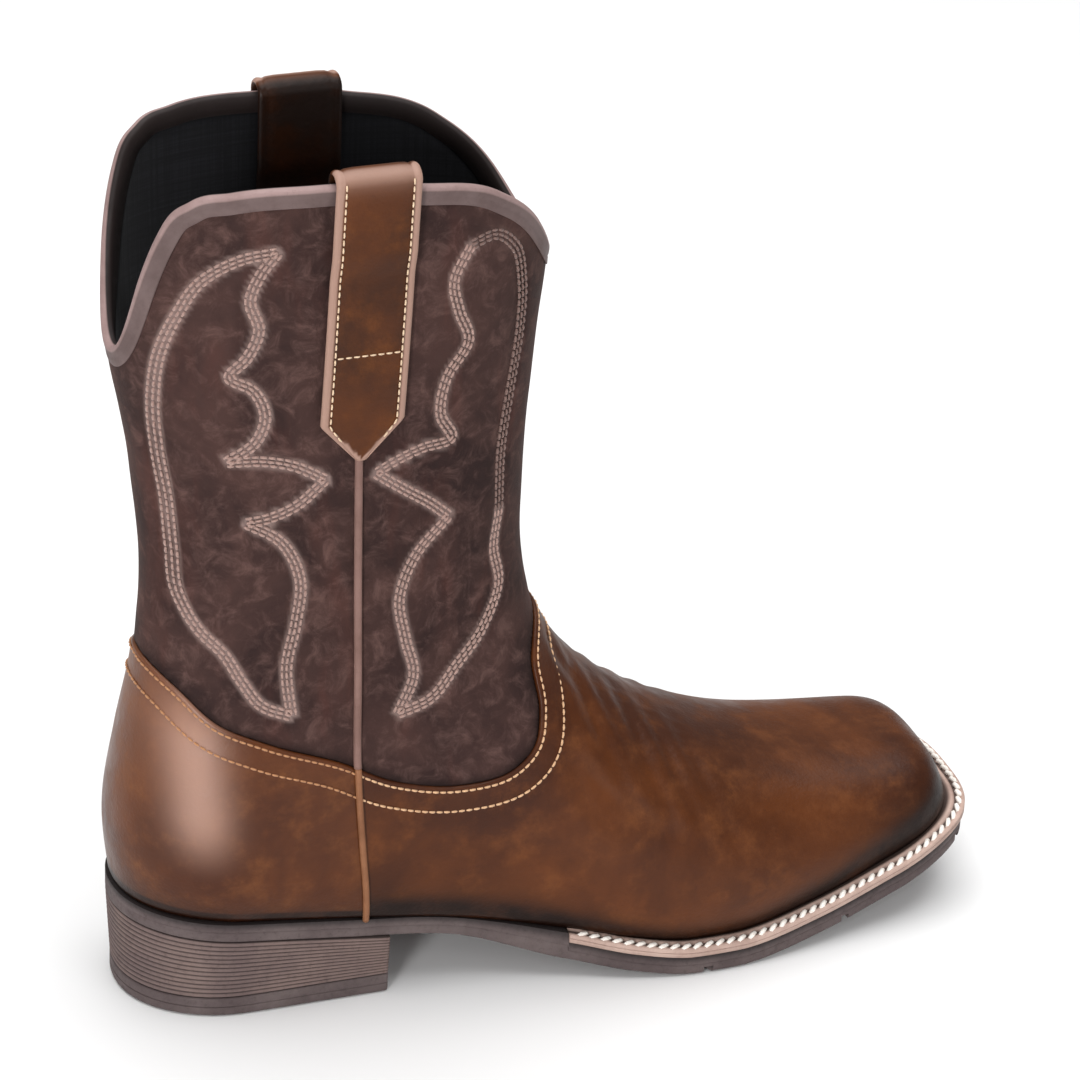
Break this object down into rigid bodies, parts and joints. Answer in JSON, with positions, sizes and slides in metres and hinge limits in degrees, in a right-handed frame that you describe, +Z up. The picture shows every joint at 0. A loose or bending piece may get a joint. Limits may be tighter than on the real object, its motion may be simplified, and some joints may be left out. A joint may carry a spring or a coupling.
{
  "type": "western work boot",
  "caption": "Pull-on western work boot for the right foot, with a scalloped shaft, pull straps, welted square toe and ribbed stacked heel.",
  "frame": {"origin": "middle of the heel's floor face", "axes": "+X towards the toe, +Y towards the inner (medial) side, +Z up"},
  "size_m": [0.3126, 0.1046, 0.3135],
  "materials": {
    "outsole_rubber": "matt grey-brown rubber with light scuffs",
    "heel_rubber": "matt grey-brown, fine horizontal ribs",
    "welt": "cream, stitched, slightly soiled",
    "lining": "near-black textile",
    "shaft_leather": "dark brown nubuck with decorative stitching",
    "vamp_leather": "tan-brown oiled leather, soft sheen, darker low down",
    "strap_leather": "orange-brown leather with cream edge stitching",
    "binding": "thin grey-brown folded edge"
  },
  "bodies": {
    "root": {"outsole": "outsole_rubber", "heel_stack": "heel_rubber", "heel_lift": "outsole_rubber", "welt": "welt", "insole": "lining", "upper": "shaft_leather", "vamp": "vamp_leather", "counter": "vamp_leather", "collar_binding": "binding", "pull_strap_lateral": "strap_leather", "pull_strap_medial": "strap_leather", "side_piping_lateral": "binding", "side_piping_medial": "binding"}
  },
  "joints": []
}
